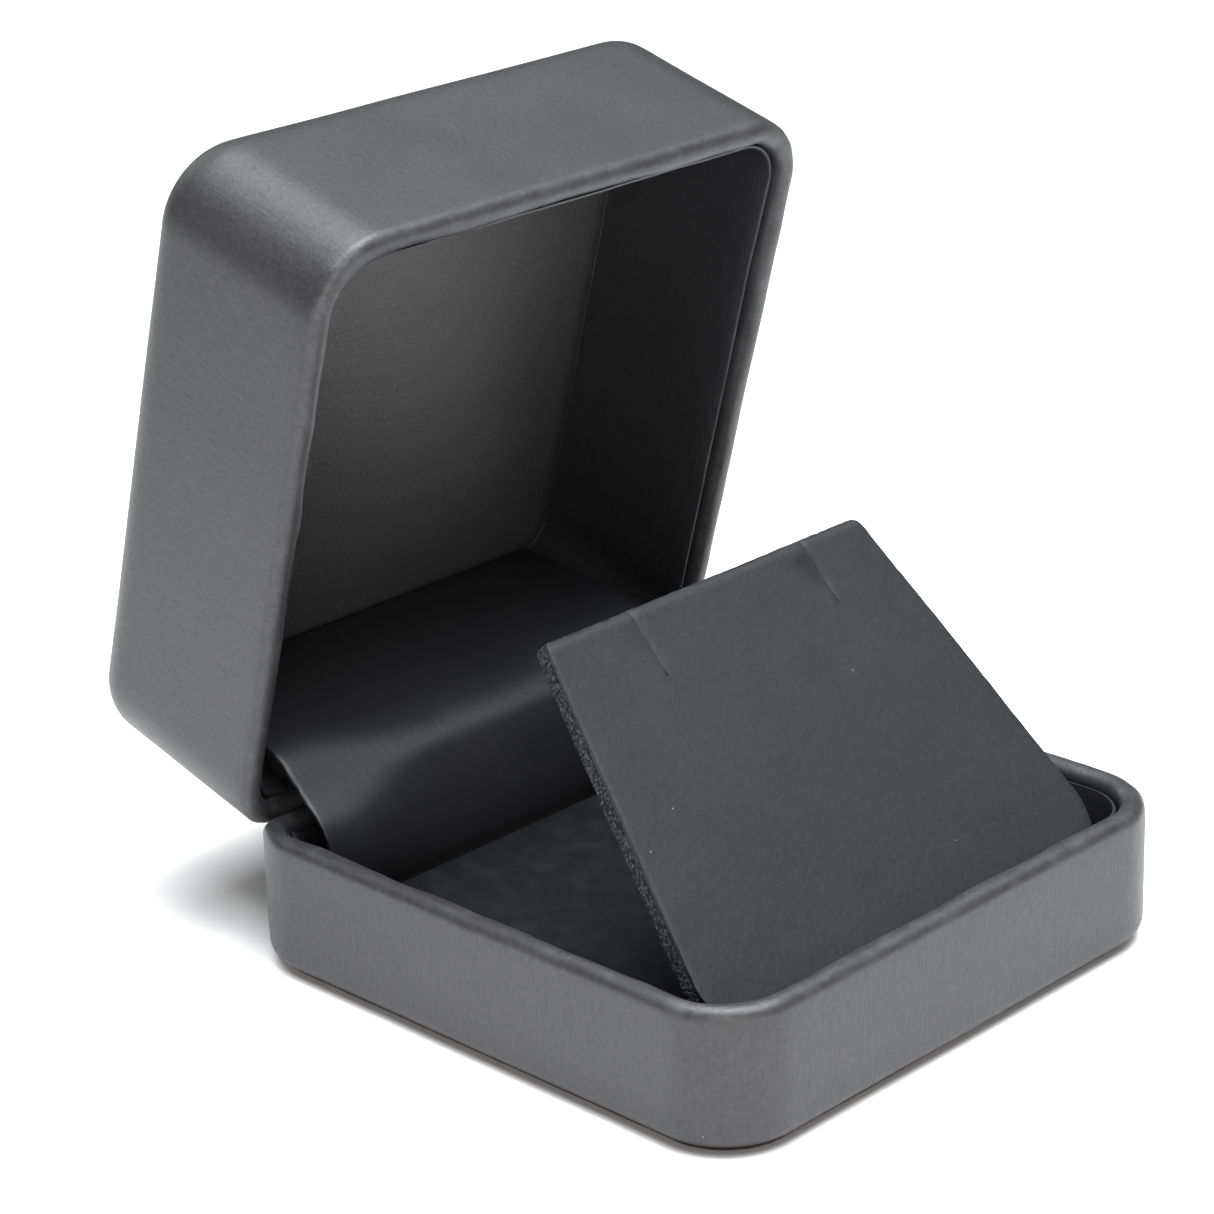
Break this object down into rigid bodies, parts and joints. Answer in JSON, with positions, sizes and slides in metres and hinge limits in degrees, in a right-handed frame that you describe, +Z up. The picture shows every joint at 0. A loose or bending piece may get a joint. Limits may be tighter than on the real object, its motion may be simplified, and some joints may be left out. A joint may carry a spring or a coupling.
{
  "type": "hinged jewelry box",
  "caption": "Small square jewelry box wrapped in dark leatherette, with a sprung hinged lid and a slanting fold-up display flap in the base tray.",
  "frame": {"origin": "centre of the underside, on the surface the box stands on", "axes": "+Z up, the front faces -Y, the hinge runs along X at the back, lid open as in display"},
  "size_m": [0.08, 0.1071, 0.0995],
  "materials": {
    "bottom_pad": "matt felt",
    "leatherette": "satin, brushed grain",
    "inner_leatherette": "satin, brushed grain",
    "board": "matt",
    "foam": "matt, open cell",
    "steel": "plated"
  },
  "bodies": {
    "base": {"bottom_pad": "bottom_pad", "base_wrap": "leatherette", "base_shell": "board", "base_wall_liner": "inner_leatherette", "base_floor_panel": "inner_leatherette", "hinge_base_leaf": "steel", "hinge_pin": "steel", "hinge_base_rivet_left": "steel", "hinge_base_rivet_right": "steel", "hinge_snap_spring": "steel", "hinge_cover_strip": "inner_leatherette", "flap_root_tab": "foam"},
    "lid": {"lid_wrap": "leatherette", "lid_shell": "board", "lid_wall_liner": "inner_leatherette", "lid_ceiling_panel": "inner_leatherette", "hinge_lid_leaf": "steel", "hinge_lid_rivet_left": "steel", "hinge_lid_rivet_right": "steel"},
    "flap": {"flap_face": "leatherette", "flap_foam": "foam"}
  },
  "joints": [
    {"name": "lid_hinge", "type": "hinge", "parent": "base", "child": "lid", "pos_m": [0, 0.0372, 0.0174], "axis": [1, 0, 0], "range_deg": [0, 74], "deforming": ["hinge_cover_strip", "hinge_snap_spring"]},
    {"name": "flap_fold", "type": "hinge", "parent": "base", "child": "flap", "pos_m": [0, -0.0342, 0.0109], "axis": [1, 0, 0], "range_deg": [-47, 0]}
  ],
  "couplings": [
    {"joint": "flap_fold", "follows": "lid_hinge", "ratio": -0.63514}
  ]
}
